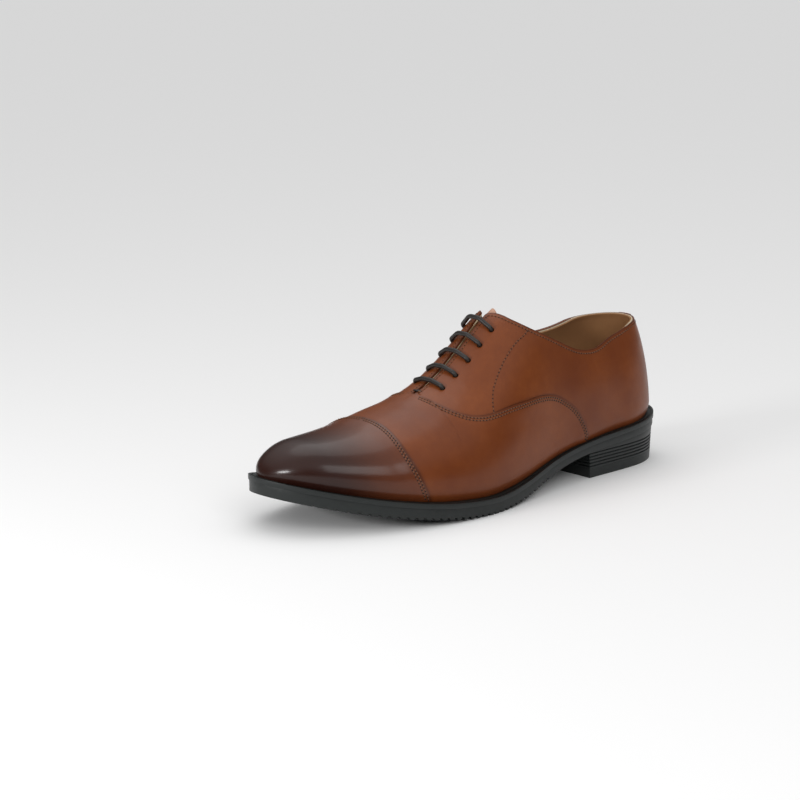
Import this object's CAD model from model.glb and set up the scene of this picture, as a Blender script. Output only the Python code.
# The looks of a man's left cap-toe oxford shoe, built around its CAD frame.
#
# Lengths in the shape functions are millimetres, as in the design: a station is the distance
# from the back of the heel towards the toe, and a rise runs up a cross-section from 0 at the
# feather line, where the upper meets the sole, to 1 at the crown. Meshes are made in metres.
import math

import bmesh
import bpy
import numpy as np
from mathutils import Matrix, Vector
from mathutils.bvhtree import BVHTree
from mathutils.kdtree import KDTree


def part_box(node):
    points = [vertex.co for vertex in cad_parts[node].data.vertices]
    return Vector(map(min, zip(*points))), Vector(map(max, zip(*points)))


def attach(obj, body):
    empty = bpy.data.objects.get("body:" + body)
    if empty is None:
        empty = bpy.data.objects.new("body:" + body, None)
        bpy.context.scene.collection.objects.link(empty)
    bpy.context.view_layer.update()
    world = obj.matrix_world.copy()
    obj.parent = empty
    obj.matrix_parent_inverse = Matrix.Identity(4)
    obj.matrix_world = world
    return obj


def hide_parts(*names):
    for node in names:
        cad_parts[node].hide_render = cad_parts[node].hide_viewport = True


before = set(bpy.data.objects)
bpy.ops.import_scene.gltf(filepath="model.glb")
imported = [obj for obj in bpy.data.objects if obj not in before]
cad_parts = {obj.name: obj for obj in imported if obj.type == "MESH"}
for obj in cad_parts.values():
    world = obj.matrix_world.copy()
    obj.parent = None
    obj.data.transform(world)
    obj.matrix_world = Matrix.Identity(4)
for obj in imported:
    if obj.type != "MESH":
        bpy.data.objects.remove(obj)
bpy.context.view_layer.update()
MM = 0.001

# ---- camera
CAMERA_TURN = 47.1          # degrees round the shoe from straight in front of the toe
CAMERA_RISE = 13.1
CAMERA_DISTANCE = 1233.0
CAMERA_AIM = (-2.9, 0.75, 45.0)
CAMERA_LENS = 90.6          # on a 36 mm sensor
CAMERA_SHIFT = (-0.0885, 0.0198)


def make_camera():
    turn, rise = math.radians(CAMERA_TURN), math.radians(CAMERA_RISE)
    back = Vector((math.sin(turn) * math.cos(rise), -math.cos(turn) * math.cos(rise), math.sin(rise)))
    data = bpy.data.cameras.new("camera")
    data.lens, data.sensor_width = CAMERA_LENS, 36.0
    data.shift_x, data.shift_y = CAMERA_SHIFT
    camera = bpy.data.objects.new("camera", data)
    camera.location = (Vector(CAMERA_AIM) + back * CAMERA_DISTANCE) * MM
    camera.rotation_euler = back.to_track_quat("Z", "Y").to_euler()
    bpy.context.scene.collection.objects.link(camera)
    bpy.context.scene.camera = camera


make_camera()

# ---- the last's shape
LATERAL, MEDIAL = 1, -1
SIDES = {LATERAL: "lateral", MEDIAL: "medial"}
HEEL_CENTRE = 45.0
HEEL_HALF = {LATERAL: 33.6, MEDIAL: 33.2}
COLLAR_HEIGHT = 62.5
BACK_LEAN = 12.0
SOLE_THICKNESS = 9.8
HEEL_LIFT = 21.0
TOE_SPRING = 20.0
LEATHER = 1.3
LINING_DEPTH = 2.15
LACE_DIAMETER = 2.8
LACE_CLEARANCE = 0.25
LACE_DEPTH = 5.45
EYELET_OFFSET = {1: 13.0, -1: 11.0}
LEATHER_HOLE = 3.5
FACING_GAP_FOOT, FACING_GAP_TOP = 1.8, 4.6
FACING_FOOT = 0.668
BAR_ARCH = (0.4, 0.8, 1.2, 1.7, 2.2)
WELT_MARGIN = [(0.0, 3.0), (0.2, 2.2), (0.37, 1.8), (0.54, 4.0), (1.0, 4.5)]
WIDTHS = {LATERAL: [(0.12, 36.2), (0.23, 39.3), (0.41, 51.0), (0.55, 61.2), (0.67, 67.2),
                    (0.79, 70.3), (0.88, 71.5), (1.0, 76.0)],
          MEDIAL: [(0.12, 32.4), (0.23, 30.6), (0.41, 37.8), (0.55, 50.2), (0.67, 59.4),
                   (0.79, 64.6), (0.88, 67.6), (1.0, 73.0)]}
TOE_SWING, TOE_SWING_START, TOE_SWING_POWER = 14.0, 0.5, 3.3
CROWN = [(0.15, 81.5), (0.25, 82.0), (0.336, 91.0), (0.40, 96.6), (0.463, 93.6), (0.534, 78.6),
         (0.61, 62.8), (0.65, 56.2), (0.73, 47.2), (0.78, 40.8), (0.84, 33.8), (0.906, 27.2), (1.0, 17.0)]
TOE_ROUND = 25.0
FULLNESS = [(0.15, 2.0), (0.4, 2.0), (0.55, 1.95), (0.76, 2.1), (0.9, 2.25), (1.0, 2.3)]
WIDEST = [(0.15, 9.0), (0.4, 7.2), (0.6, 8.0), (0.8, 7.8), (0.95, 5.0), (1.0, 3.0)]
UNDERCUT = 1.8
HEEL_CURVE = [(0.0, 1.0), (0.12, 0.855), (0.25, 0.725), (0.4, 0.425), (0.5, 0.13), (0.58, 0.005)]
TOE_CURVE = [(0.62, 0.005), (0.7, 0.1), (0.8, 0.315), (0.9, 0.62), (1.0, 1.0)]
CAP_LINE = [(0.773, 60.0), (0.776, 43.0), (0.782, 34.0), (0.782, 26.0), (0.773, 17.0),
            (0.761, 8.0), (0.748, 0.0), (0.74, -8.0)]
VAMP_SEAM = [(0.668, 72.0), (0.662, 57.0), (0.654, 52.4), (0.6275, 47.5), (0.60, 45.7),
             (0.56, 45.6), (0.517, 46.3), (0.47, 45.2), (0.423, 42.8), (0.379, 38.0),
             (0.3456, 31.4), (0.315, 23.2), (0.292, 12.9), (0.279, 3.8), (0.276, -6.1)]
FACING_LINE = [(0.40, 93.1), (0.418, 80.6), (0.446, 78.4), (0.473, 75.1), (0.497, 70.4),
               (0.52, 64.4), (0.54, 58.2), (0.556, 50.1), (0.566, 38.1)]
TOP_LINES = {LATERAL: [(0.151, 59.9), (0.181, 58.1), (0.218, 55.2), (0.252, 55.4), (0.292, 59.0),
                       (0.332, 66), (0.379, 75.1), (0.41, 81.6), (0.443, 89.6)],
             MEDIAL: [(0.151, 61.8), (0.181, 60.4), (0.218, 59.7), (0.252, 60.2), (0.292, 63.3),
                      (0.332, 68.8), (0.379, 76.3), (0.41, 82), (0.443, 89.6)]}
FACING_TOP = 0.463
EYELET_ROWS = [0.617, 0.582, 0.548, 0.516, 0.484]
LINING = 0.95
GRIP_END, LINING_SPACE = 15.0, 0.3   # q of the heel grip's front edge, and the slit before the lining
EYELET_HOLE = 4.2
STRIP_THICKNESS, STRIP_SKIN = 0.9, -0.95
TONGUE_THICKNESS, TONGUE_LINING, TONGUE_GAP = 1.2, 0.8, 0.05
FINE = 1441                 # samples along a curve when it is set in
HEEL_ROUND = 58.0           # the run of q round the heel, from its centre to the back seam
COLLAR_TURN = 50.0          # degrees of the heel's round over which the collar climbs
SLIT = [(0.352, 86.7), (0.398, 93.2), (0.424, 70.8)]     # (station share, height above the feather)
VAMP_RAISE, CAP_RAISE = 0.7, 0.7    # how far each stands off the piece it laps, at its edge
VAMP_FADE, CAP_FADE = 14, 12        # and over what distance that dies away
RUBBED = 1.6                        # width of the dark finish along the edges
BURNISH_FROM, BURNISH_FULL = 0.775, 0.93    # station shares over which the toe darkens
# the tongue: (station share, depth under the skin, half width)
TONGUE = [(0.438, 4.9, 4.0), (0.443, 5.2, 8.0), (0.452, 5.9, 12.0), (0.468, 7.0, 14.0), (0.49, 7.2, 14.5),
          (0.53, 7.2, 15.0), (0.57, 7.2, 15.5), (0.61, 7.1, 15.5), (0.64, 5.6, 15.0), (0.662, 4.0, 14.0)]
TONGUE_SIDE_DROP = 2.2
TONGUE_BULGE = 2.6          # it swells up into the gap between the facings
HOLE_BEND, SHOULDER_BEND, BAR_SHOULDER = 1.7, 6.0, 4.0
SIDE_STEP = 3.3             # an inner run of lace passes another hole's by this much
TAIL_LEAD, TAIL_DIP, TAIL_STRAIGHT = 4.5, 1.0, 6.0
TAIL_ROW = {LATERAL: 3, MEDIAL: 4}
# (across, along, height above the feather line)
TAIL_ROUTE = {
    LATERAL: [(22.6, 2.6, 61.8), (27.5, 5.0, 51.3), (30.5, 8.0, 39.6), (31.5, 12.5, 27.1),
              (30.0, 19.5, 14.8), (26.5, 30.0, 7.2), (22.0, 42.5, 6.0), (17.5, 56.0, 6.3),
              (15.0, 71.0, 7.0), (16.0, 86.5, 7.6), (18.5, 101.5, 7.8), (15.5, 115.5, 7.5)],
    MEDIAL: [(-21.3, 10.8, 62.5), (-23.6, 13.2, 51.9), (-25.2, 16.0, 40.2), (-25.6, 20.5, 27.6),
             (-24.5, 27.5, 15.4), (-21.0, 38.0, 7.6), (-16.5, 50.5, 6.3), (-13.5, 64.5, 6.8),
             (-13.8, 80.0, 7.7), (-16.5, 95.0, 7.9), (-14.0, 109.5, 7.9), (-8.5, 122.5, 7.8)]}
CEILING_STARTS = (0.25, 0.8)     # heights on the sky where the soft light begins and is full
WORLD_LIGHT = (0.08, 0.78)       # the sky low down and overhead
FLOOR = 30000                    # half the floor's width

# the upper's length and the origin's place come from the welt, whose edge overhangs both ends
welt_low, welt_high = (np.array(corner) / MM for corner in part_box("welt"))
UPPER_LENGTH = welt_high[1] - welt_low[1] - WELT_MARGIN[0][1] - WELT_MARGIN[-1][1]
MIDDLE_ALONG = welt_high[1] - WELT_MARGIN[0][1]


def smooth(knots, start_flat=False):
    """A cubic curve through (place, value) pairs, as a function of place."""
    x = np.array([k[0] for k in knots], float)
    y = np.array([k[1] for k in knots], float)
    h = np.diff(x)
    slope = np.diff(y) / h
    n = len(x)
    a, b = np.eye(n), np.zeros(n)
    for i in range(1, n - 1):
        a[i, i - 1:i + 2] = h[i - 1], 2 * (h[i - 1] + h[i]), h[i]
        b[i] = 6 * (slope[i] - slope[i - 1])
    if start_flat:
        a[0, :2] = 2 * h[0], h[0]
        b[0] = 6 * slope[0]
    m = np.linalg.solve(a, b)

    def value(t):
        t = np.asarray(t, float)
        i = np.clip(np.searchsorted(x, t) - 1, 0, n - 2)
        u, v = x[i + 1] - t, t - x[i]
        return ((m[i] * u ** 3 + m[i + 1] * v ** 3) / (6 * h[i])
                + (y[i] / h[i] - m[i] * h[i] / 6) * u + (y[i + 1] / h[i] - m[i + 1] * h[i] / 6) * v)
    return value


WIDTH_CURVE = {side: smooth([(0.0, HEEL_HALF[side])] + knots, start_flat=True)
               for side, knots in WIDTHS.items()}
crown_curve, fullness_curve, widest_curve = smooth(CROWN), smooth(FULLNESS), smooth(WIDEST)
heel_curve, toe_curve, welt_margin = smooth(HEEL_CURVE), smooth(TOE_CURVE), smooth(WELT_MARGIN)
TOP_CURVE = {side: smooth(knots) for side, knots in TOP_LINES.items()}


def centre(s):
    share = np.clip((np.asarray(s, float) / UPPER_LENGTH - TOE_SWING_START) / (1 - TOE_SWING_START), 0, None)
    return -TOE_SWING * share ** TOE_SWING_POWER


def bare_half_width(s, side):
    s = np.asarray(s, float)
    share = np.clip((s - HEEL_CENTRE) / (UPPER_LENGTH - HEEL_CENTRE), 0, 1)
    fore = np.sqrt(1 - share ** 2) * WIDTH_CURVE[side](share)
    heel = HEEL_HALF[side] * np.sqrt(np.clip(1 - ((HEEL_CENTRE - s) / HEEL_CENTRE) ** 2, 0, 1))
    return np.where(s < HEEL_CENTRE, heel, fore)


def underside(s):
    share = np.asarray(s, float) / UPPER_LENGTH
    heel = np.where(share < HEEL_CURVE[-1][0], HEEL_LIFT * heel_curve(share), 0)
    toe = np.where(share > TOE_CURVE[0][0], TOE_SPRING * toe_curve(share), 0)
    return np.maximum(heel + toe, 0)


def feather(s):
    return underside(s) + SOLE_THICKNESS


def set_in(x, y, inset):
    dx, dy = np.gradient(x), np.gradient(y)
    size = np.hypot(dx, dy)
    return x - inset * dy / size, y + inset * dx / size


class Skin:
    """The last's surface, set in by a depth: 0 is the outside of the leather."""

    def __init__(self, inset):
        self.inset = inset
        self.widths = {}
        for side in SIDES:
            s = UPPER_LENGTH * (1 - np.cos(np.linspace(0, math.pi, FINE))) / 2
            moved_s, moved_x = set_in(s, bare_half_width(s, side) + side * centre(s), -inset)
            moved_s[0], moved_s[-1] = inset, UPPER_LENGTH - inset
            self.widths[side] = moved_s, np.maximum(moved_x - side * centre(moved_s), 0)
        s = HEEL_CENTRE / 2 + (UPPER_LENGTH - HEEL_CENTRE / 2) * np.sin(np.linspace(0, math.pi / 2, FINE))
        rounding = np.sqrt(1 - (1 - np.clip((UPPER_LENGTH - s) / TOE_ROUND, 0, 1)) ** 2)
        self.crown = set_in(s, feather(s) + crown_curve(s / UPPER_LENGTH) * rounding, -inset)
        self.crown[0][-1] = UPPER_LENGTH - inset

    def section(self, s, side, rise):
        """(across, height) of points of the upright sections at s. Arrays are taken together."""
        s, rise = np.broadcast_arrays(np.asarray(s, float), np.asarray(rise, float))
        w, base = np.interp(s, *self.widths[side]), feather(s)
        high = np.maximum(np.interp(s, *self.crown) - base, 0.2)
        share = s / UPPER_LENGTH
        power = 2 / fullness_curve(share)
        wide = np.minimum(widest_curve(share), 0.3 * high)
        low_part = 0.12
        low = np.clip(rise / low_part, 0, 1)
        turn = np.clip((rise - low_part) / (1 - low_part), 0, 1) * math.pi / 2
        tuck = UNDERCUT * np.minimum(1.0, w / 20) * (1 - low) ** 2
        across = w * np.maximum(np.cos(turn), 0) ** power - tuck
        return across, base + wide * low + (high - wide) * np.sin(turn) ** power

    def rise_at_height(self, s, side, height):
        rise = np.linspace(0, 1, 1201)
        return float(np.interp(height, self.section(s, side, rise)[1], rise))

    def rise_at_width(self, s, side, across):
        rise = np.linspace(0.12, 1, 1201)
        return float(np.interp(-across, -self.section(s, side, rise)[0], rise))

    def at(self, side, q, rise):
        """Points of the skin in the part's frame. q is along the shoe: from the heel's centre forward,
        and from it back round the heel to -HEEL_ROUND at the back seam."""
        q, rise = np.broadcast_arrays(np.asarray(q, float), np.asarray(rise, float))
        s = np.maximum(q, 0) + HEEL_CENTRE
        across, height = self.section(s, side, rise)
        fore = np.stack([centre(s) + side * across, s, height], -1)
        round_part = self.round_heel(side, np.minimum(q, 0), rise)
        return place(np.where((q < 0)[..., None], round_part, fore))

    def round_heel(self, side, q, rise):
        top = wall_rise(side, HEEL_CENTRE)
        tall = rise / top
        across, height = self.section(HEEL_CENTRE, side, rise)
        back = HEEL_CENTRE - self.inset - back_profile(tall)
        turn = (1 + q / HEEL_ROUND) * math.pi / 2
        reach = 1 / np.sqrt((np.sin(turn) / across) ** 2 + (np.cos(turn) / back) ** 2)
        s = HEEL_CENTRE - reach * np.cos(turn)
        base = feather(HEEL_CENTRE)
        side_top = self.section(HEEL_CENTRE, side, top)[1] - base
        full = side_top + (COLLAR_HEIGHT - side_top) * collar_share(side, side_top, np.degrees(turn))
        height = feather(np.maximum(s, 0)) + (height - base) / side_top * full
        return np.stack([side * reach * np.sin(turn), s, height], -1)


def place(points):
    """Points (across, station, height) in the part's frame, in millimetres."""
    points = np.asarray(points, float)
    return np.stack([points[..., 0] - MIDDLE_ACROSS, MIDDLE_ALONG - points[..., 1], points[..., 2]], -1)


def back_profile(tall):
    hollow = np.clip((tall - 0.15) / 0.85, 0, 1) ** 1.4 * BACK_LEAN
    return hollow + UNDERCUT * np.clip(1 - tall / 0.15, 0, 1) ** 2


def collar_share(side, side_top, turn):
    """How much of the climb from the side of the heel to the back seam is done at each turn."""
    share = np.minimum((90 - turn) / COLLAR_TURN, 1)
    first = TOP_LINES[side][0][0]
    slope = (TOP_CURVE[side](first) - TOP_CURVE[side](first + 0.01)) / 0.01 / UPPER_LENGTH
    climb = max(COLLAR_HEIGHT - float(side_top), 0.5)
    start = min(float(slope) * HEEL_HALF[side] * math.radians(COLLAR_TURN) / climb, 3.0)
    return start * share * (1 - share) ** 2 + share ** 2 * (3 - 2 * share)


def facing_gap(s):
    return float(np.interp(s / UPPER_LENGTH, (FACING_TOP, FACING_FOOT), (FACING_GAP_TOP, FACING_GAP_FOOT)))


SKINS = {}


def skin_at(inset):
    if inset not in SKINS:
        SKINS[inset] = Skin(inset)
    return SKINS[inset]


OUTSIDE, DEEPER = skin_at(0), skin_at(1.0)


def outline_half(side, margin, stations):
    """The plan outline's distance across, margin(share) outside the feather line."""
    s = UPPER_LENGTH * (1 - np.cos(np.linspace(0, math.pi, FINE))) / 2
    moved_s, moved_x = set_in(s, bare_half_width(s, side) + side * centre(s), margin(s / UPPER_LENGTH))
    return np.interp(stations, moved_s, moved_x)


widest = np.linspace(150, 280, 400)
MIDDLE_ACROSS = (outline_half(LATERAL, welt_margin, widest).max()
                 - outline_half(MEDIAL, welt_margin, widest).max()) / 2


def top_line_rise(side, s):
    return OUTSIDE.rise_at_height(s, side, float(feather(s) + TOP_CURVE[side](s / UPPER_LENGTH)))


def wall_rise(side, s):
    """How far up the section the quarter reaches: the top line, then the facing's edge."""
    corner_start, corner_end = TOP_LINES[LATERAL][-1][0] * UPPER_LENGTH, FACING_TOP * UPPER_LENGTH
    if s <= corner_start:
        return top_line_rise(side, s)
    if s >= corner_end:
        return OUTSIDE.rise_at_width(s, side, facing_gap(s) / 2)
    mix = (s - corner_start) / (corner_end - corner_start)
    return ((1 - mix) * top_line_rise(side, corner_start)
            + mix * OUTSIDE.rise_at_width(corner_end, side, facing_gap(corner_end) / 2))


def seam_points(line, count=400):
    """(station, height above the feather) along a seam, evenly spaced, by a curve through its points."""
    steps = np.hypot(*(np.diff(np.array(line) * (UPPER_LENGTH, 1), axis=0).T))
    run = np.concatenate([[0], np.cumsum(steps)])
    along = np.linspace(0, run[-1], count)
    s = smooth([(r, p[0] * UPPER_LENGTH) for r, p in zip(run, line)])(along)
    h = smooth([(r, p[1]) for r, p in zip(run, line)])(along)
    return s, h


SEAM_S, SEAM_H = seam_points(VAMP_SEAM)
CAP_S, CAP_H = seam_points(CAP_LINE)
FACING_S, FACING_H = seam_points(FACING_LINE)


def seam_rise(side, s):
    """The rise of the vamp's edge at a station: 0 where it has reached the sole, 1 past the throat."""
    if s <= SEAM_S[-1]:
        return 0.0
    if s >= SEAM_S[0]:
        return 1.0
    height = float(np.interp(s, SEAM_S[::-1], SEAM_H[::-1]))
    if height <= 0:
        return 0.0
    return OUTSIDE.rise_at_height(s, side, float(feather(s)) + height)


# ---- skins as grids of points
def unit(v):
    v = np.asarray(v, float)
    return v / np.maximum(np.linalg.norm(v, axis=-1, keepdims=True), 1e-12)


def ease(share):
    share = np.clip(share, 0, 1)
    return share * share * (3 - 2 * share)


WALL = {}


def wall_at(side, q):
    """wall_rise, read off a table so that it is quick."""
    if side not in WALL:
        stations = np.linspace(HEEL_CENTRE, 0.67 * UPPER_LENGTH, 320)
        rises = np.array([wall_rise(side, s) for s in stations])
        near = np.exp(-np.linspace(-2.2, 2.2, 9) ** 2 / 2)
        padded = np.pad(rises, 4, mode="edge")
        rounded = np.convolve(padded, near / near.sum(), mode="valid")
        WALL[side] = stations, np.where(stations > 0.5 * UPPER_LENGTH, rises, rounded)
    return float(np.interp(max(q, 0) + HEEL_CENTRE, *WALL[side]))


def crossing(side):
    """The station where the vamp's edge meets the facing's edge, at the throat."""
    stations = np.linspace(0.62 * UPPER_LENGTH, 0.67 * UPPER_LENGTH, 200)
    gap = np.array([wall_rise(side, s) - seam_rise(side, s) for s in stations])
    return float(np.interp(0, -gap, stations))


def throat_station():
    """The station where the vamp's edge crosses the crown."""
    stations = np.linspace(0.63 * UPPER_LENGTH, 0.668 * UPPER_LENGTH, 300)
    over = [np.interp(s, SEAM_S[::-1], SEAM_H[::-1]) + feather(s) - OUTSIDE.section(s, LATERAL, 1.0)[1]
            for s in stations]
    return float(np.interp(0, over, stations))


THROAT = throat_station()
WING_END = float(np.interp(0, SEAM_H[::-1], SEAM_S[::-1])) + 0.3


def lifted(skin, side, q, rise, amount):
    """Points of a skin moved out by an amount."""
    at = skin.at(side, q, rise)
    deeper = skin_at(skin.inset + 1.0)
    return at + unit(at - deeper.at(side, q, rise)) * np.asarray(amount)[..., None]


def cap_station(side, rise):
    """The cap line's station at each rise."""
    found = [(OUTSIDE.rise_at_height(s, side, float(feather(s)) + h), s) for s, h in zip(CAP_S, CAP_H)
             if 0 <= h <= float(OUTSIDE.section(s, side, 1.0)[1] - feather(s)) + 1]
    found.sort()
    return np.interp(rise, [f[0] for f in found], [f[1] for f in found])


def quarter_grid(side, skin, start, rows=64, step=1.2, under=1.5, tuck=0.7):
    """Columns from q = start to the throat, between the vamp's edge or the sole and the top line."""
    end = crossing(side) - HEEL_CENTRE
    qs = np.concatenate([np.arange(start, end - 6, step), np.linspace(end - 6, end, 14)])
    share = np.linspace(0, 1, rows)
    q_grid, rise_grid, low_grid = [], [], []
    for q in qs:
        s = max(q, 0) + HEEL_CENTRE
        seam = min(seam_rise(side, s), wall_at(side, q))
        reach = max(seam_rise(side, s - under) - 0.6 * under / 50, 0) if seam > 0 else 0
        low, top = min(seam, reach), wall_at(side, q)
        rise_grid.append(low + (top - low) * share)
        q_grid.append(np.full(rows, q))
        hidden = np.clip((seam - rise_grid[-1]) / max(seam - low, 1e-6), 0, 1)
        low_grid.append(hidden if seam > low else 0 * share)
    q_grid, rise_grid, low_grid = map(np.array, (q_grid, rise_grid, low_grid))
    return lifted(skin, side, q_grid, rise_grid, -tuck * low_grid)


def front_columns(side, rows, tip_inset=None, step=1.3, past=0.0):
    """(q, rise) of the vamp's columns, from its wing's tip to the cap line, or to the tip of the toe."""
    share = np.linspace(0, 1, rows)
    qs, rises = [], []
    for s in np.concatenate([np.arange(WING_END, THROAT - 8, step), np.linspace(THROAT - 8, THROAT, 12)]):
        qs.append(np.full(rows, s - HEEL_CENTRE))
        rises.append(share * (seam_rise(side, s) if s < THROAT else 1.0))
    rises[-1] = share
    line = cap_station(side, share)
    for part in np.linspace(0, 1 + past, 26)[1:]:
        qs.append(THROAT + (line - THROAT) * part - HEEL_CENTRE)
        rises.append(share)
    if tip_inset is not None:
        for part in np.sin(np.linspace(0, math.pi / 2, 48))[1:]:
            qs.append(line + (UPPER_LENGTH - tip_inset - line) * part - HEEL_CENTRE)
            rises.append(share)
    return np.array(qs), np.array(rises)


def cap_columns(side, rows):
    share = np.linspace(0, 1, rows)
    line = cap_station(side, share)
    parts = np.sin(np.linspace(0, math.pi / 2, 64))
    return (np.array([line + (UPPER_LENGTH - line) * part - HEEL_CENTRE for part in parts]),
            np.tile(share, (len(parts), 1)))


def far_from(points, line):
    """Each point's distance from a polyline's points."""
    tree = KDTree(len(line))
    for i, p in enumerate(line):
        tree.insert(p[:3], i)
    tree.balance()
    flat = points.reshape(-1, 3)
    return np.array([tree.find(p)[2] for p in flat]).reshape(points.shape[:-1])


def with_normals(side, q, rise):
    """Points of the outer skin and the way out of it there, as rows of six numbers."""
    at = OUTSIDE.at(side, q, rise)
    return np.concatenate([at, unit(at - DEEPER.at(side, q, rise))], -1)


def line_on(side, stations, heights):
    """A seam as points on the outer skin, up to the crown, with the way out."""
    made = []
    for s, h in zip(stations, heights):
        tall = float(OUTSIDE.section(s, side, 1.0)[1] - feather(s))
        if -0.2 <= h <= tall:
            rise = OUTSIDE.rise_at_height(s, side, float(feather(s)) + h)
            made.append(with_normals(side, s - HEEL_CENTRE, rise))
    return np.array(made)


VAMP_EDGE = {side: line_on(side, SEAM_S, SEAM_H) for side in SIDES}
CAP_EDGE = {side: line_on(side, CAP_S, CAP_H) for side in SIDES}
FACING_ROW = {side: line_on(side, FACING_S, FACING_H) for side in SIDES}
RIM = {}                    # the quarter's top line and facing edge, in one
for side in SIDES:
    run = np.linspace(-HEEL_ROUND, crossing(side) - HEEL_CENTRE, 420)
    RIM[side] = with_normals(side, run, np.array([wall_at(side, q) for q in run]))


# ---- meshes
def grid_faces(n, m, first=0):
    i, j = np.meshgrid(np.arange(n - 1), np.arange(m - 1), indexing="ij")
    a = first + i * m + j
    return np.stack([a, a + m, a + m + 1, a + 1], -1).reshape(-1, 4)


def new_object(name, mesh):
    made = bpy.data.objects.new(name, mesh)
    bpy.context.scene.collection.objects.link(made)
    return made


def mesh_of(name, points, faces):
    """A mesh object from points in millimetres."""
    mesh = bpy.data.meshes.new(name)
    mesh.from_pydata((np.asarray(points) * MM).tolist(), [], [list(map(int, f)) for f in faces])
    return new_object(name, mesh)


def join_grids(name, grids):
    """One sheet from several grids of points, joined where they touch, facing outwards."""
    points, faces, first = [], [], 0
    for grid in grids:
        points.append(grid.reshape(-1, 3))
        faces.append(grid_faces(grid.shape[0], grid.shape[1], first))
        first += len(points[-1])
    sheet = mesh_of(name, np.vstack(points), np.vstack(faces))
    bm = bmesh.new()
    bm.from_mesh(sheet.data)
    bmesh.ops.remove_doubles(bm, verts=bm.verts, dist=0.00003)
    bmesh.ops.dissolve_degenerate(bm, edges=bm.edges, dist=0.00002)
    bmesh.ops.recalc_face_normals(bm, faces=bm.faces)
    facing = 0.0
    for face in bm.faces:
        middle = face.calc_center_median()
        s = MIDDLE_ALONG - middle.y / MM
        core = Vector((float(centre(s)) - MIDDLE_ACROSS, middle.y / MM, float(feather(s)) + 18)) * MM
        facing += face.calc_area() * face.normal.dot((middle - core).normalized())
    if facing < 0:
        bmesh.ops.reverse_faces(bm, faces=bm.faces)
    bm.to_mesh(sheet.data)
    bm.free()
    return sheet


def face_outwards(made):
    bm = bmesh.new()
    bm.from_mesh(made.data)
    bmesh.ops.recalc_face_normals(bm, faces=bm.faces)
    bm.to_mesh(made.data)
    bm.free()
    return made


def settle(made):
    """Replaces an object's mesh by what its modifiers make of it."""
    bpy.context.view_layer.update()
    graph = bpy.context.evaluated_depsgraph_get()
    mesh = bpy.data.meshes.new_from_object(made.evaluated_get(graph))
    made.modifiers.clear()
    made.data = mesh
    return made


def thicken(sheet, thickness, cutters=(), rounding=0.35, segments=3):
    """A shell inwards from a sheet, cut, with rounded edges."""
    solid = sheet.modifiers.new("thickness", "SOLIDIFY")
    solid.thickness, solid.offset, solid.use_even_offset = thickness * MM, -1, True
    solid.use_quality_normals = True
    settle(sheet)
    for cutter in cutters:
        cut = sheet.modifiers.new("cut", "BOOLEAN")
        cut.operation, cut.solver, cut.object = "DIFFERENCE", "EXACT", cutter
        settle(sheet)
    bevel = sheet.modifiers.new("edges", "BEVEL")
    bevel.width, bevel.segments, bevel.limit_method = rounding * MM, segments, "ANGLE"
    bevel.angle_limit = math.radians(50)
    settle(sheet)
    for face in sheet.data.polygons:
        face.use_smooth = True
    return sheet


def wear(made, lines, reach):
    """Marks where the finish is rubbed dark: 1 at the lines, 0 beyond reach of them."""
    co = np.empty(len(made.data.vertices) * 3)
    made.data.vertices.foreach_get("co", co)
    far = far_from(co.reshape(-1, 3) / MM, np.vstack(lines))
    near = made.data.attributes.new("near_edge", "FLOAT", "POINT")
    near.data.foreach_set("value", (1 - ease(far / reach)).astype(np.float32))


def belongs(made, material, node=None, body="shoe"):
    made.data.materials.clear()
    made.data.materials.append(material)
    if node:
        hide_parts(*([node] if isinstance(node, str) else node))
    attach(made, body)
    return made


# ---- materials
def linear(*srgb):
    return tuple(((v / 255 + 0.055) / 1.055) ** 2.4 if v > 10 else v / 255 / 12.92 for v in srgb)


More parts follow.
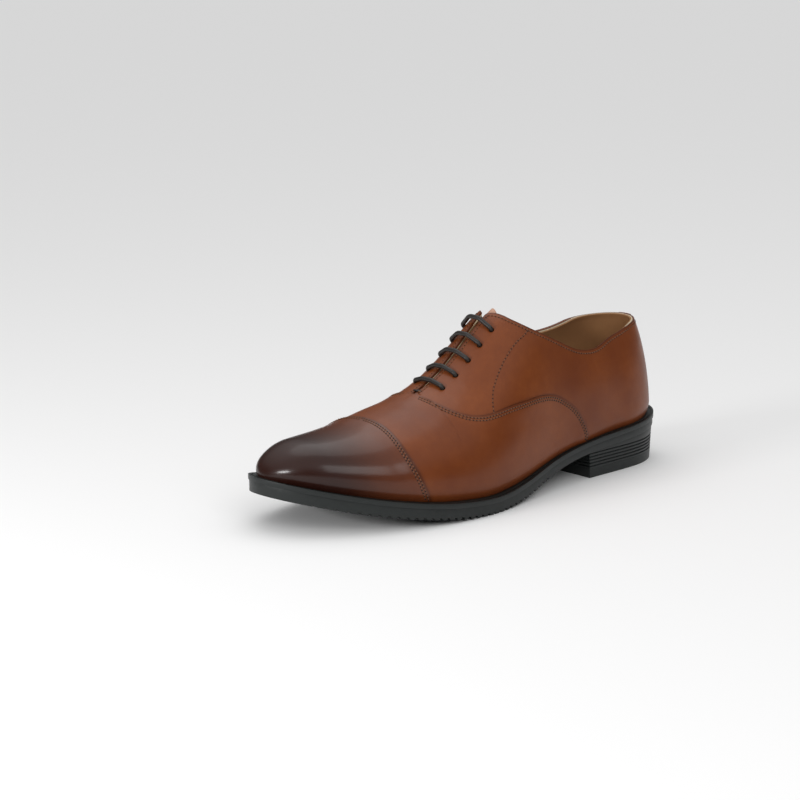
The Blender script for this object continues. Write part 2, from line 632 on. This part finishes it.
class Shader:
    """A material's node tree, with short ways to add to it."""

    def __init__(self, name):
        self.material = bpy.data.materials.new(name)
        self.material.use_nodes = True
        self.nodes, self.links = self.material.node_tree.nodes, self.material.node_tree.links
        self.nodes.clear()
        out = self.nodes.new("ShaderNodeOutputMaterial")
        self.surface = self.nodes.new("ShaderNodeBsdfPrincipled")
        self.links.new(self.surface.outputs[0], out.inputs[0])
        self.place = self.nodes.new("ShaderNodeTexCoord").outputs["Object"]

    def set(self, **values):
        for word, value in values.items():
            socket = self.surface.inputs[word.replace("_", " ")]
            socket.default_value = (*value, 1) if isinstance(value, tuple) else value
        return self

    def noise(self, scale, detail=3.0, roughness=0.5):
        node = self.nodes.new("ShaderNodeTexNoise")
        node.inputs["Scale"].default_value, node.inputs["Detail"].default_value = scale, detail
        node.inputs["Roughness"].default_value = roughness
        self.links.new(self.place, node.inputs["Vector"])
        return node.outputs["Fac"]

    def cells(self, scale):
        node = self.nodes.new("ShaderNodeTexVoronoi")
        node.feature, node.inputs["Scale"].default_value = "DISTANCE_TO_EDGE", scale
        self.links.new(self.place, node.inputs["Vector"])
        return node.outputs["Distance"]

    def span(self, value, low, high, to_low=0.0, to_high=1.0):
        node = self.nodes.new("ShaderNodeMapRange")
        for socket, number in zip(node.inputs[1:5], (low, high, to_low, to_high)):
            socket.default_value = number
        self.links.new(value, node.inputs[0])
        return node.outputs[0]

    def maths(self, operation, a, b):
        node = self.nodes.new("ShaderNodeMath")
        node.operation = operation
        for socket, value in zip(node.inputs, (a, b)):
            if isinstance(value, float):
                socket.default_value = value
            else:
                self.links.new(value, socket)
        return node.outputs[0]

    def mix(self, share, a, b):
        node = self.nodes.new("ShaderNodeMix")
        node.data_type = "RGBA"
        for socket, value in ((node.inputs["Factor"], share), (node.inputs[6], a), (node.inputs[7], b)):
            if isinstance(value, tuple):
                socket.default_value = (*value, 1)
            else:
                self.links.new(value, socket)
        return node.outputs[2]

    def attribute(self, name):
        node = self.nodes.new("ShaderNodeAttribute")
        node.attribute_name = name
        return node.outputs["Fac"]

    def bump(self, height, distance, strength=1.0):
        node = self.nodes.new("ShaderNodeBump")
        node.inputs["Distance"].default_value, node.inputs["Strength"].default_value = distance, strength
        self.links.new(height, node.inputs["Height"])
        before = self.surface.inputs["Normal"].links
        if before:
            self.links.new(before[0].from_socket, node.inputs["Normal"])
        self.links.new(node.outputs[0], self.surface.inputs["Normal"])

    def use(self, word, value):
        self.links.new(value, self.surface.inputs[word])


def leather(name, colour, deep, dark, rough=0.42, coat=0.22, coat_rough=0.2, grain=0.00004, tip=None):
    """Finished calf: clouded colour, dark where it is rubbed, with a fine grain and a polish."""
    made = Shader(name).set(Roughness=rough, Coat_Weight=coat, Coat_Roughness=coat_rough, IOR=1.48,
                            Specular_IOR_Level=0.2)
    cloud = made.span(made.noise(22.0, 4.0, 0.55), 0.35, 0.68)
    fine = made.span(made.noise(260.0, 3.0, 0.6), 0.3, 0.75)
    body = made.mix(made.maths("MULTIPLY", fine, 0.35), made.mix(cloud, colour, deep), deep)
    if tip:
        body = made.mix(made.attribute("burnished"), body, tip)
    rubbed = made.maths("MULTIPLY", made.attribute("near_edge"), 0.75)
    made.use("Base Color", made.mix(rubbed, body, dark))
    made.use("Roughness", made.span(made.noise(60.0, 3.0), 0.3, 0.7, rough - 0.05, rough + 0.07))
    made.bump(made.span(made.cells(1500.0), 0.0, 0.25), grain, 0.35)
    made.bump(made.noise(420.0, 4.0, 0.6), grain * 2, 0.3)
    made.bump(made.noise(45.0, 2.0, 0.5), 0.0006, 0.12)
    return made.material


def plain(name, colour, rough=0.5, metal=0.0, grain=0.00003, scale=900.0, second=None, coat=0.0):
    made = Shader(name).set(Roughness=rough, Metallic=metal, Coat_Weight=coat)
    second = second or tuple(0.8 * v for v in colour)
    made.use("Base Color", made.mix(made.span(made.noise(scale / 12, 4.0), 0.3, 0.7), colour, second))
    made.bump(made.noise(scale, 3.0, 0.6), grain, 0.5)
    return made.material


def ribbed(name, colour, pitch, rough):
    """Woven elastic, ribbed across the stretch."""
    made = Shader(name).set(Base_Color=colour, Roughness=rough)
    wave = made.nodes.new("ShaderNodeTexWave")
    wave.wave_type, wave.bands_direction = "BANDS", "Y"
    wave.inputs["Scale"].default_value = 0.314 / pitch
    made.links.new(made.place, wave.inputs["Vector"])
    made.bump(wave.outputs["Fac"], 0.0002, 0.8)
    made.bump(made.noise(2200.0), 0.0001, 0.5)
    return made.material


def waxed(name, colour):
    made = Shader(name).set(Base_Color=colour, Roughness=0.45)
    made.bump(made.noise(3000.0, 3.0), 0.00005, 0.6)
    return made.material


UPPER = leather("upper_leather", (0.21, 0.053, 0.011), (0.14, 0.031, 0.006), (0.05, 0.012, 0.005))
CAP = leather("burnished_leather", (0.15, 0.037, 0.009), (0.1, 0.023, 0.006), (0.03, 0.007, 0.003),
              tip=(0.022, 0.005, 0.0025), rough=0.34, coat=0.4, coat_rough=0.17)
LINING_LEATHER = leather("lining_leather", linear(172, 128, 88), linear(150, 108, 72), linear(120, 84, 54),
                         rough=0.55, coat=0.0)
TONGUE_LEATHER = leather("tongue_leather", linear(196, 152, 128), linear(176, 130, 108), linear(120, 80, 60),
                         rough=0.34, coat=0.3)
SOCK = leather("sock_leather", linear(150, 112, 76), linear(132, 96, 62), linear(110, 76, 48),
               rough=0.5, coat=0.1)
THREAD = plain("thread", linear(118, 76, 48), 0.6, scale=2500.0)
HOLE = plain("needle_hole", linear(20, 9, 6), 0.8)
BLACK_THREAD = plain("black_thread", linear(22, 18, 18), 0.55, scale=2500.0)
RUBBER = plain("sole_rubber", (0.0035, 0.0065, 0.006), 0.45, grain=0.00005, scale=1400.0)
HEEL_RUBBER = plain("heel_rubber", (0.0035, 0.0065, 0.006), 0.45, grain=0.00004, scale=1400.0)
ELASTIC = ribbed("elastic", linear(20, 19, 20), 0.0008, 0.7)
METAL = plain("eyelet_metal", linear(120, 100, 70), 0.35, metal=1.0)
STEEL = plain("steel", linear(150, 150, 152), 0.35, metal=1.0)
FELT = plain("interlining", linear(210, 196, 170), 0.9, scale=500.0)
STIFF = plain("stiffener", linear(196, 178, 146), 0.75, scale=500.0)
BOARD = plain("board", linear(150, 120, 90), 0.8, scale=400.0)
FOAM = plain("foam", linear(220, 205, 180), 0.85, scale=700.0)
CORK = plain("cork", linear(150, 104, 66), 0.85, scale=300.0, second=linear(96, 62, 38))
BRAID = waxed("waxed_braid", (0.011, 0.007, 0.005))
TIP = plain("aglet_plastic", linear(34, 26, 22), 0.25, coat=0.5)

# ---- eyelets
EYELETS = {}
for side in SIDES:
    for row, share in enumerate(EYELET_ROWS):
        s = share * UPPER_LENGTH
        rise = OUTSIDE.rise_at_width(s, side, EYELET_OFFSET[side])
        at = OUTSIDE.at(side, s - HEEL_CENTRE, rise)
        q = s - HEEL_CENTRE
        along = OUTSIDE.at(side, q + 0.5, rise) - OUTSIDE.at(side, q - 0.5, rise)
        up = OUTSIDE.at(side, q, rise + 0.004) - OUTSIDE.at(side, q, rise - 0.004)
        out = unit(np.cross(up, along) * side)
        out = out if out[2] > 0 else -out
        inward = unit(np.cross([0, -1, 0], out))
        EYELETS[side, row] = at, out, inward * (-1 if (inward[0] > 0) == (side == LATERAL) else 1)


def eyelet_at(side, row, depth, towards_centre=0.0):
    at, out, inward = EYELETS[side, row]
    return at - out * depth + inward * towards_centre


def rod_cutters(side, radius):
    """One cutter with a round rod through each hole of a side."""
    points, faces = [], []
    count, inside, outside = 24, 4.5, 4.0
    for row in range(len(EYELET_ROWS)):
        at, out, inward = EYELETS[side, row]
        third = np.cross(out, inward)
        turn = np.linspace(0, 2 * math.pi, count, endpoint=False)
        ring = radius * (np.outer(np.cos(turn), inward) + np.outer(np.sin(turn), third))
        first = len(points)
        points += list(at + ring - out * inside) + list(at + ring + out * outside)
        faces += [[first + i, first + (i + 1) % count, first + count + (i + 1) % count, first + count + i]
                  for i in range(count)]
        faces += [list(range(first + count - 1, first - 1, -1)),
                  list(range(first + count, first + 2 * count))]
    return face_outwards(mesh_of("rods", points, faces))


def slit_cutter():
    """The V of the elastic slit, as a prism through the medial side."""
    corners = [(share * UPPER_LENGTH, h + float(feather(share * UPPER_LENGTH))) for share, h in SLIT]
    points = [(x, MIDDLE_ALONG - s, z) for x in (-60.0, -3.0) for s, z in corners]
    faces = [(0, 1, 2), (5, 4, 3), (0, 3, 4, 1), (1, 4, 5, 2), (2, 5, 3, 0)]
    return face_outwards(mesh_of("slit", points, faces))


# ---- the upper
upper = {}


def build_quarters():
    slit = slit_cutter()
    for side, word in SIDES.items():
        rods = rod_cutters(side, LEATHER_HOLE / 2)
        sheet = join_grids(f"quarter_{word}_leather", [quarter_grid(side, OUTSIDE, -HEEL_ROUND)])
        thicken(sheet, LEATHER, [rods] + ([slit] if side == MEDIAL else []))
        wear(sheet, [VAMP_EDGE[side], RIM[side]], RUBBED)
        upper[f"quarter_{side}"] = belongs(sheet, UPPER, f"quarter_{word}")
        bpy.data.objects.remove(rods)
    bpy.data.objects.remove(slit)


def raised_sheet(name, columns, edge, height, fade, tuck=0.0):
    """Leather over the front of the skin, which stands up along its edge. Its last column is tucked in."""
    grids = []
    for side in SIDES:
        q, rise = columns(side)
        amount = height * (1 - ease(far_from(OUTSIDE.at(side, q, rise), edge[side]) / fade))
        amount[-1] -= tuck
        grids.append(lifted(OUTSIDE, side, q, rise, amount))
    sheet = join_grids(name, grids)
    return thicken(sheet, LEATHER)


def build_vamp():
    sheet = raised_sheet("vamp_leather", lambda side: front_columns(side, 72, past=0.045),
                         VAMP_EDGE, VAMP_RAISE, VAMP_FADE, 0.9)
    wear(sheet, [*VAMP_EDGE.values(), *CAP_EDGE.values()], RUBBED)
    upper["vamp"] = belongs(sheet, UPPER, "vamp")


def burnish(sheet):
    """Marks how far the polish has darkened the leather: 0 at the cap's seam, 1 near the toe."""
    corners = np.empty(len(sheet.data.vertices) * 3)
    sheet.data.vertices.foreach_get("co", corners)
    share = (MIDDLE_ALONG - corners[1::3] / MM) / UPPER_LENGTH
    marks = sheet.data.attributes.new("burnished", "FLOAT", "POINT")
    burnt = ease((share - BURNISH_FROM) / (BURNISH_FULL - BURNISH_FROM))
    marks.data.foreach_set("value", burnt.astype(np.float32))


def build_cap():
    sheet = raised_sheet("toe_cap_leather", lambda side: cap_columns(side, 72), CAP_EDGE, CAP_RAISE, CAP_FADE)
    wear(sheet, [*CAP_EDGE.values()], RUBBED)
    burnish(sheet)
    upper["cap"] = belongs(sheet, CAP, "toe_cap")


def lining(name, node, grids, cutters=(), edges=(), thickness=LINING, rounding=0.25, segments=2, body="shoe"):
    sheet = join_grids(name, grids)
    thicken(sheet, thickness, cutters, rounding, segments)
    if edges:
        wear(sheet, edges, 5.0)
    belongs(sheet, LINING_LEATHER, node, body)


def build_linings():
    skin = skin_at(LINING_DEPTH)
    for side, word in SIDES.items():
        rods = rod_cutters(side, EYELET_HOLE / 2)
        lining(f"quarter_lining_{word}_leather", f"quarter_lining_{word}",
               [quarter_grid(side, skin, GRIP_END + LINING_SPACE, 40, 2.0, 0.0, 0.0)], [rods], [RIM[side]])
        bpy.data.objects.remove(rods)
    grids = []
    for side in SIDES:
        qs = np.linspace(-HEEL_ROUND, GRIP_END, 44)
        share = np.linspace(0, 1, 40)
        grids.append(skin.at(side, qs[:, None], np.array([share * wall_at(side, q) for q in qs])))
    lining("heel_grip_leather", "heel_grip", grids, edges=list(RIM.values()))
    grids = [skin.at(side, *front_columns(side, 40, LINING_DEPTH, 2.0)) for side in SIDES]
    lining("vamp_lining_cloth", "vamp_lining", grids, rounding=0.2, segments=1)


def build_back_strip():
    skin = skin_at(STRIP_SKIN)
    share = np.linspace(0, 1, 50)
    grids, borders = [], []
    for side in SIDES:
        qs = np.linspace(-HEEL_ROUND, -0.9 * HEEL_ROUND, 8)
        grids.append(skin.at(side, qs[:, None], np.array([share * wall_at(side, 0) for q in qs])))
        borders.append(with_normals(side, np.full(50, qs[-1]), share * wall_at(side, 0)))
    strip = join_grids("back_strip_leather", grids)
    thicken(strip, STRIP_THICKNESS)
    wear(strip, borders, 2.5)
    upper["strip"] = belongs(strip, UPPER, "back_strip")
    return borders


def tongue_grid(start):
    shares = [t[0] for t in TONGUE]
    rows = []
    for share in np.linspace(shares[0], shares[-1], 70):
        depth = float(np.interp(share, shares, [t[1] for t in TONGUE])) + start
        half = float(np.interp(share, shares, [t[2] for t in TONGUE]))
        s = share * UPPER_LENGTH
        skin = skin_at(round(depth, 1))
        points = []
        for side, places in ((LATERAL, np.linspace(1, 0, 14)), (MEDIAL, np.linspace(0, 1, 14)[1:])):
            for part in places:
                rise = skin.rise_at_width(s, side, part * half) if part > 0 else 1.0
                bulge = TONGUE_BULGE * max(1 - (part * half / 8) ** 2, 0) ** 2
                height = float(skin.section(s, side, rise)[1]) - TONGUE_SIDE_DROP * part ** 2 + bulge
                points.append(place((float(centre(s)) + side * part * half, s, height)))
        rows.append(points)
    return np.array(rows)


def build_tongue():
    outer = join_grids("tongue_leather_piece", [tongue_grid(0.0)])
    thicken(outer, TONGUE_THICKNESS, (), 0.4)
    belongs(outer, TONGUE_LEATHER, "tongue", "tongue")
    lining("tongue_lining_piece", "tongue_lining", [tongue_grid(TONGUE_THICKNESS + TONGUE_GAP)],
           thickness=TONGUE_LINING, body="tongue")


# ---- stitching
class Stitching:
    """Collects stitches and needle holes into one mesh each."""

    def __init__(self, name, thread):
        self.name, self.thread = name, thread
        self.stitches, self.holes = [], []

    def row(self, line, offset, towards, target, pitch, start=0.0, length=0.55, radius=0.28, dot=0.6):
        """Stitches beside a line on a surface, offset from it towards a direction."""
        line = resample(line, 0.6)
        along = unit(np.gradient(line[:, :3], axis=0))
        across = unit(np.cross(line[:, 3:], along))
        sign = 1.0 if float(np.sum(across @ np.asarray(towards, float))) > 0 else -1.0
        moved = np.concatenate([line[:, :3] + sign * offset * across, line[:, 3:]], -1)
        tree = surface_of(target)
        found = []
        for p in resample(moved, pitch, start):
            way = Vector(unit(p[3:]))
            hit, normal, face, far = tree.ray_cast((Vector(p[:3]) * MM) + way * 0.004, -way, 0.007)
            if hit is not None and normal.dot(way) > 0.5:
                found.append((np.array(hit) / MM, np.array(way)))
        for (a, n), (b, m) in zip(found, found[1:]):
            if np.linalg.norm(b - a) < 1.6 * pitch:
                self.stitches.append(((a + b) / 2, unit(b - a), unit(n + m), length * pitch / 2, radius))
        self.holes += [(p, n, dot) for p, n in found]

    def finish(self):
        ball, quads = small_ball(8, 6)
        copies = []
        for middle, along, up, half, radius in self.stitches:
            reach = np.sign(ball[:, 0]) * np.abs(ball[:, 0]) ** 0.7 * (half + radius * 0.5)
            sag = -0.35 * radius * (ball[:, 0] ** 2)
            copies.append(middle + np.outer(reach, along)
                          + np.outer(ball[:, 1] * radius, unit(np.cross(up, along)))
                          + np.outer(ball[:, 2] * radius + sag + radius * 0.35, up))
        strewn(f"{self.name}_thread", quads, copies, self.thread)
        ball, quads = small_ball(10, 6)
        copies = []
        for p, n, radius in self.holes:
            side = unit(np.cross(n, [0.3, 0.5, 0.81]))
            copies.append(p + np.outer(ball[:, 0] * radius, side)
                          + np.outer(ball[:, 1] * radius, np.cross(n, side)) + np.outer(ball[:, 2] * 0.1, n))
        strewn(f"{self.name}_needle_holes", quads, copies, HOLE)


def strewn(name, quads, copies, material):
    """One piece of the leather's slot from many copies of a ball, each given by its points."""
    faces = [[v + i * len(copies[0]) for v in quad] for i in range(len(copies)) for quad in quads]
    made = mesh_of(name, np.vstack(copies), faces)
    smooth_faces(made)
    belongs(made, material)


def smooth_faces(made):
    made.data.polygons.foreach_set("use_smooth", [True] * len(made.data.polygons))


def small_ball(around, bands):
    """A unit ball whose poles lie on X."""
    points, faces = [(-1.0, 0.0, 0.0)], []
    for i in range(1, bands):
        polar = math.pi * i / bands
        for j in range(around):
            turn = 2 * math.pi * j / around
            across = math.sin(polar)
            points.append((-math.cos(polar), across * math.cos(turn), across * math.sin(turn)))
    points.append((1.0, 0.0, 0.0))
    last = len(points) - 1
    for j in range(around):
        k = (j + 1) % around
        faces.append([0, 1 + j, 1 + k])
        for i in range(bands - 2):
            a, b = 1 + i * around, 1 + (i + 1) * around
            faces.append([a + j, b + j, b + k, a + k])
        a = 1 + (bands - 2) * around
        faces.append([a + j, last, a + k])
    return np.array(points), faces


SURFACES = {}


def surface_of(made):
    if made.name not in SURFACES:
        mesh = made.data
        SURFACES[made.name] = BVHTree.FromPolygons([v.co for v in mesh.vertices],
                                                   [p.vertices for p in mesh.polygons])
    return SURFACES[made.name]


def run_of(line):
    return np.concatenate([[0], np.cumsum(np.linalg.norm(np.diff(line[:, :3], axis=0), axis=1))])


def resample(line, pitch, start=0.0):
    """A line's points again, evenly spaced."""
    line = np.asarray(line, float)
    run = run_of(line)
    at = start + np.arange(max(int((run[-1] - start) / pitch), 1) + 1) * pitch
    return np.stack([np.interp(at, run, line[:, k]) for k in range(line.shape[1])], -1)


def trim(line, low, high):
    """A line without its first low and last high millimetres."""
    run = run_of(line)
    return line[(run >= low) & (run <= run[-1] - high)]


def build_stitching(strip_edges):
    tan = Stitching("seam", THREAD)
    down = np.array([0, -0.6, -0.8])
    for side in SIDES:
        quarter = upper[f"quarter_{side}"]
        for offset, start in ((1.3, 0.0), (2.8, 1.1)):
            tan.row(trim(VAMP_EDGE[side], 1, 1), offset, down, upper["vamp"], 2.2, start)
            tan.row(CAP_EDGE[side], offset, (0, -1, 0), upper["cap"], 2.2, start)
        top = RIM[side]
        corner = int(np.argmin(np.abs(top[:, 1] - (MIDDLE_ALONG - FACING_TOP * UPPER_LENGTH))))
        tan.row(trim(top[:corner], 6, 0), 2.2, (0, 0, -1), quarter, 2.3)
        tan.row(trim(top[corner:], 0, 2), 2.2, (side, 0, 0), quarter, 2.3)
        tan.row(trim(FACING_ROW[side], 4, 3), 0.0, down, quarter, 2.6, length=0.3, dot=0.62)
    for line in strip_edges:
        inwards = -1.0 if line[0][0] > -MIDDLE_ACROSS else 1.0
        tan.row(trim(line, 2, 2), 1.3, (inwards, 0, 0), upper["strip"], 2.3)
    tip = SLIT[2]
    for other, sign in ((SLIT[0], 1.0), (SLIT[1], -1.0)):
        edge = []
        for share in np.linspace(0, 1, 30):
            s = ((1 - share) * tip[0] + share * other[0]) * UPPER_LENGTH
            height = (1 - share) * tip[1] + share * other[1] + float(feather(s))
            rise = OUTSIDE.rise_at_height(s, MEDIAL, height)
            if rise < wall_at(MEDIAL, s - HEEL_CENTRE) - 0.01:
                edge.append(with_normals(MEDIAL, s - HEEL_CENTRE, rise))
        tan.row(np.array(edge), 1.8, (0, sign, 0), upper[f"quarter_{MEDIAL}"], 2.2)
    tan.finish()


# ---- the lace
def fillet(points, radii):
    """A polyline whose corners are rounded by arcs."""
    path = [np.asarray(points[0], float)]
    for before, at, after, radius in zip(points, points[1:], points[2:], radii):
        before, at, after = (np.asarray(p, float) for p in (before, at, after))
        a, b = unit(before - at), unit(after - at)
        half = math.acos(np.clip(a @ b, -1, 1)) / 2
        if math.pi / 2 - half < 0.01:
            continue
        middle = at + unit(a + b) * radius / math.sin(half)
        start, end = at + a * radius / math.tan(half), at + b * radius / math.tan(half)
        x = unit(start - middle)
        y = unit((end - middle) - ((end - middle) @ x) * x)
        sweep = math.pi - 2 * half
        for turn in np.linspace(0, sweep, max(int(sweep / 0.12), 3)):
            path.append(middle + radius * (x * math.cos(turn) + y * math.sin(turn)))
    path.append(np.asarray(points[-1], float))
    return np.array(path)


def tube(name, path, radius, around=28, step=0.32, braid=0.085):
    """A braided tube along a path."""
    run = run_of(path)
    count = int(run[-1] / step)
    at = np.linspace(0, run[-1], count + 1)
    line = np.stack([np.interp(at, run, path[:, k]) for k in range(3)], -1)
    tangents = unit(np.gradient(line, axis=0))
    side = unit(np.cross(tangents[0], [0.2, 0.3, 0.93]))
    turn = np.linspace(0, 2 * math.pi, around, endpoint=False)
    points = []
    for p, t, length in zip(line, tangents, at):
        side = unit(side - (side @ t) * t)
        third = np.cross(t, side)
        weave = np.maximum(np.abs(np.cos(4 * turn + 1.45 * length)), np.abs(np.cos(4 * turn - 1.45 * length)))
        r = radius + braid * (weave - 0.85)
        points += list(p + np.outer(r * np.cos(turn), side) + np.outer(r * np.sin(turn), third))
    faces = []
    for first in range(0, count * around, around):
        for j in range(around):
            k = (j + 1) % around
            faces.append([first + j, first + k, first + around + k, first + around + j])
    faces += [list(range(around - 1, -1, -1)), list(range(count * around, (count + 1) * around))]
    made = mesh_of(name, points, faces)
    smooth_faces(made)
    return made, line


def bar(row, start):
    """Corner points of one bar, from the start side's hole over to the other's, with their bends."""
    lift = LACE_DIAMETER / 2 + LACE_CLEARANCE
    s = EYELET_ROWS[row] * UPPER_LENGTH
    lean = EYELETS[LATERAL, row][1] * (0, 1, 1)
    crown = place((0, s, float(np.interp(s, *OUTSIDE.crown)))) + unit(lean) * (lift + BAR_ARCH[row])
    middle = [crown + (start * BAR_SHOULDER, 0, 0), crown - (start * BAR_SHOULDER, 0, 0)]
    points = ([eyelet_at(start, row, LACE_DEPTH), eyelet_at(start, row, -lift)] + middle
              + [eyelet_at(-start, row, -lift), eyelet_at(-start, row, LACE_DEPTH)])
    return list(zip(points, [HOLE_BEND] * 2 + [SHOULDER_BEND] * 2 + [HOLE_BEND] * 2))


def tail_start(side):
    return eyelet_at(side, TAIL_ROW[side], LACE_DEPTH + TAIL_DIP, -TAIL_LEAD)


def build_tack():
    """The black bar tack across the throat, with its thread end."""
    s = THROAT - 4.0
    middle = place((float(centre(s)), s, float(np.interp(s, *OUTSIDE.crown)) + 0.2))
    ball, quads = small_ball(10, 8)
    copies = []
    for lean, long, thick, along in ((0.0, 3.6, 0.55, 0.0), (0.12, 3.3, 0.5, 0.75), (-0.1, 3.2, 0.5, -0.75)):
        x = ball[:, 0] * long
        copies.append(middle + np.stack([x, ball[:, 1] * thick + along + lean * x,
                                         ball[:, 2] * thick - 0.028 * x ** 2], -1))
    strewn("throat_bar_tack", quads, copies, BLACK_THREAD)
    ends = np.array([middle + (2.6, -1.2, -0.1), middle + (3.6, -1.8, 0.4), middle + (4.6, -1.6, 0.1)])
    tail = tube("throat_thread_end", fillet(ends, [0.8]), 0.35, around=8, step=0.2, braid=0.0)[0]
    belongs(tail, THREAD)


def build_lace():
    corners = ([(tail_start(LATERAL), HOLE_BEND)] + bar(3, LATERAL)
               + [(eyelet_at(MEDIAL, 2, LACE_DEPTH, -SIDE_STEP), HOLE_BEND)]
               + bar(1, MEDIAL) + bar(0, LATERAL)
               + [(eyelet_at(MEDIAL, 1, LACE_DEPTH, SIDE_STEP), HOLE_BEND)] + bar(2, MEDIAL)
               + [(eyelet_at(LATERAL, 3, LACE_DEPTH, SIDE_STEP), HOLE_BEND)] + bar(4, LATERAL)
               + [(tail_start(MEDIAL), HOLE_BEND)])
    path = fillet([point for point, bend in corners], [bend for point, bend in corners[1:-1]])
    held = tube("shoelace_braid", path, LACE_DIAMETER / 2)[0]
    belongs(held, BRAID, "shoelace")
    for side, word in SIDES.items():
        start = tail_start(side)
        way = unit(start - eyelet_at(side, TAIL_ROW[side], LACE_DEPTH))
        points = [start, start + way * TAIL_STRAIGHT]
        points += [np.array([x, y, h + float(feather(MIDDLE_ALONG - y))]) for x, y, h in TAIL_ROUTE[side]]
        radii = []
        for before, at, after in zip(points, points[1:], points[2:]):
            a, b = at - before, after - at
            turn = math.acos(np.clip(unit(a) @ unit(b), -1, 1))
            radii.append(0.45 * min(np.linalg.norm(a), np.linalg.norm(b)) / math.tan(turn / 2))
        end, line = tube(f"lace_end_{word}_braid", fillet(points, radii), LACE_DIAMETER / 2)
        belongs(end, BRAID, f"lace_end_{word}")


# ---- CAD nodes that stay
def dress(node, material, rounding):
    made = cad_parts[node]
    made.data.materials.clear()
    made.data.materials.append(material)
    weld = made.modifiers.new("weld", "WELD")
    weld.merge_threshold = 0.00001
    if rounding:
        bevel = made.modifiers.new("edges", "BEVEL")
        bevel.width, bevel.segments, bevel.limit_method = rounding * MM, 3, "ANGLE"
        bevel.angle_limit, bevel.harden_normals = math.radians(35), True


# (CAD nodes, material, slot, rounding of their edges)
DRESS = (
    ("toe_puff heel_counter facing_stay_lateral facing_stay_medial", STIFF, "stiffener", 0),
    ("vamp_interlining quarter_interlining_lateral quarter_interlining_medial", FELT, "interlining", 0),
    ("eyelets_lateral eyelets_medial", METAL, "eyelet_metal", 0.08),
    ("aglet_lateral aglet_medial", TIP, "aglet_plastic", 0.3),
    ("elastic_gore", ELASTIC, "elastic", 0),
    ("insole_board", BOARD, "board", 0),
    ("heel_pad", FOAM, "foam", 0.4),
    ("sock_lining", SOCK, "sock_leather", 0.3),
    ("shank heel_nails", STEEL, "steel", 0),
    ("forefoot_filler", CORK, "cork", 0),
    ("welt", RUBBER, "sole_rubber", 0.7),
    ("outsole", RUBBER, "sole_rubber", 0.3),
    ("heel_block", HEEL_RUBBER, "heel_rubber", 0.2),
    ("heel_top_piece", HEEL_RUBBER, "heel_rubber", 0.35))


# ---- room and light
def area_light(name, at, aim, size, power):
    data = bpy.data.lights.new(name, "AREA")
    data.shape, data.size, data.size_y, data.energy = "RECTANGLE", *size, power
    made = new_object(name, data)
    made.location = at
    made.rotation_euler = (Vector(at) - Vector(aim)).to_track_quat("Z", "Y").to_euler()


def build_room():
    corners = [(-FLOOR, -FLOOR, 0), (FLOOR, -FLOOR, 0), (FLOOR, FLOOR, 0), (-FLOOR, FLOOR, 0)]
    floor = mesh_of("floor", corners, [(0, 1, 2, 3)])
    white = Shader("paper").set(Base_Color=(0.9, 0.9, 0.9), Roughness=1.0, Specular_IOR_Level=0.0)
    floor.data.materials.append(white.material)
    world = bpy.data.worlds.new("studio")
    world.use_nodes = True
    nodes, links = world.node_tree.nodes, world.node_tree.links
    axes = nodes.new("ShaderNodeSeparateXYZ")
    links.new(nodes.new("ShaderNodeTexCoord").outputs["Generated"], axes.inputs[0])
    spread = nodes.new("ShaderNodeMapRange")
    spread.interpolation_type = "SMOOTHSTEP"
    for socket, number in zip(spread.inputs[1:5], (*CEILING_STARTS, *WORLD_LIGHT)):
        socket.default_value = number
    links.new(axes.outputs["Z"], spread.inputs[0])
    links.new(spread.outputs[0], nodes["Background"].inputs[1])
    nodes["Background"].inputs[0].default_value = (1, 1, 1, 1)
    bpy.context.scene.world = world
    bpy.context.scene.view_settings.view_transform = "Standard"
    sun = bpy.data.lights.new("sky", "SUN")
    sun.energy, sun.angle = 0.6, math.radians(50)
    new_object("sky", sun).rotation_euler = Vector((-0.35, 0.25, 1.0)).to_track_quat("Z", "Y").to_euler()
    area_light("left", (-0.08, -1.1, 0.36), (-0.02, -0.12, 0.03), (0.34, 0.16), 5.0)
    area_light("right", (1.6, -0.7, 1.1), (0, 0, 0.05), (1.3, 1.0), 11)


build_quarters()
build_vamp()
build_cap()
build_linings()
edges = build_back_strip()
build_tongue()
build_stitching(edges)
build_tack()
build_lace()
for nodes, material, slot, rounding in DRESS:
    for node in nodes.split():
        dress(node, material, rounding)
build_room()
